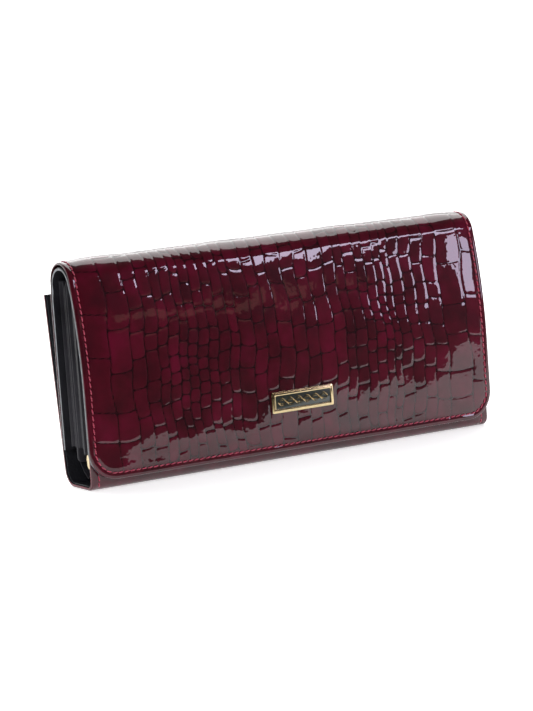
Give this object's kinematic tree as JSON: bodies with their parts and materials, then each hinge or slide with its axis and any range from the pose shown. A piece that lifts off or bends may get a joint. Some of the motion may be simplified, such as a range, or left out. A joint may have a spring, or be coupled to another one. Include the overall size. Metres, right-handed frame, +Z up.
{
  "type": "long wallet",
  "caption": "Long flap wallet in glossy embossed patent leather, with a kiss-lock coin purse, bill compartments, card slots and a zipped back pocket.",
  "frame": {"origin": "middle of the box's footprint, on the surface that the wallet's bottom fold stands on", "axes": "+X along the length, to the right seen from the front; +Y from the flap's front to the zipped back; +Z up"},
  "size_m": [0.19, 0.0344, 0.0913],
  "materials": {
    "patent_leather": "crocodile-embossed leather under a clear high-gloss patent coat",
    "black_lining": "fine-grained black lining leather, satin",
    "black_leather": "black split leather with painted grey edges, satin",
    "lining_fabric": "black woven polyester lining, matt",
    "board": "pressed fibre board, matt",
    "thread": "twisted polyester thread, satin",
    "zip_tape": "black herringbone zip tape, matt",
    "zip_metal": "pale gold plated zip metal, polished",
    "frame_metal": "pale gold plated purse frame, polished",
    "snap_metal": "gold plated snap fastener, satin",
    "plate_metal": "pale gold plated nameplate frame, polished",
    "plate_inlay": "dark enamelled plate with a plain line pattern, glossy"
  },
  "bodies": {
    "wallet_body": {"shell_leather": "patent_leather", "shell_lining": "black_lining", "shell_stitching": "thread", "pocket_lining": "lining_fabric", "zip_tapes": "zip_tape", "zip_teeth": "zip_metal", "zip_stops": "zip_metal", "back_wall_leather": "patent_leather", "back_wall_board": "board", "back_wall_lining": "black_lining", "back_wall_stitching": "thread", "card_slots_rear": "black_leather", "middle_leaf": "black_leather", "card_slots_middle": "black_leather", "front_leaf": "black_leather", "compartment_floor": "lining_fabric", "gusset_left": "black_leather", "gusset_right": "black_leather", "purse_lining": "lining_fabric", "purse_gussets": "lining_fabric", "purse_rear_frame": "frame_metal", "clasp_ball_rear": "frame_metal", "hinge_rivets": "frame_metal"},
    "purse_front": {"front_panel_leather": "patent_leather", "front_panel_lining": "black_lining", "front_panel_stitching": "thread", "purse_front_rim": "black_leather", "purse_front_frame": "frame_metal", "clasp_ball_front": "frame_metal", "snap_stud": "snap_metal"},
    "flap_spine": {"flap_spine_leather": "patent_leather", "flap_spine_lining": "black_lining", "flap_spine_stitching": "thread"},
    "flap_front": {"flap_front_leather": "patent_leather", "flap_front_lining": "black_lining", "flap_front_filler": "board", "flap_front_stitching": "thread", "nameplate_frame": "plate_metal", "nameplate_plate": "plate_inlay", "nameplate_prongs": "plate_metal", "snap_socket": "snap_metal"},
    "zip_slider": {"zip_slider": "zip_metal"},
    "zip_puller": {"zip_puller": "zip_metal"}
  },
  "joints": [
    {"name": "flap_open", "type": "hinge", "parent": "wallet_body", "child": "flap_spine", "pos_m": [0, 0.00722, 0.08886], "axis": [-1, 0, 0], "range_deg": [0, 90]},
    {"name": "flap_fold", "type": "hinge", "parent": "flap_spine", "child": "flap_front", "pos_m": [0, -0.00842, 0.08886], "axis": [-1, 0, 0], "range_deg": [0, 90]},
    {"name": "purse_open", "type": "hinge", "parent": "wallet_body", "child": "purse_front", "pos_m": [0, -0.0076, 0.011], "axis": [1, 0, 0], "range_deg": [0, 45]},
    {"name": "zip_travel", "type": "slide", "parent": "wallet_body", "child": "zip_slider", "axis": [-1, 0, 0], "range_m": [0, 0.15]},
    {"name": "puller_swing", "type": "hinge", "parent": "zip_slider", "child": "zip_puller", "pos_m": [0.078, 0.01403, 0.08134], "axis": [0, 0.9063, -0.4226], "range_deg": [0, 160]}
  ],
  "couplings": [
    {"joint": "flap_fold", "follows": "flap_open", "ratio": 1},
    {"joint": "purse_open", "follows": "flap_open", "ratio": 0.5}
  ]
}
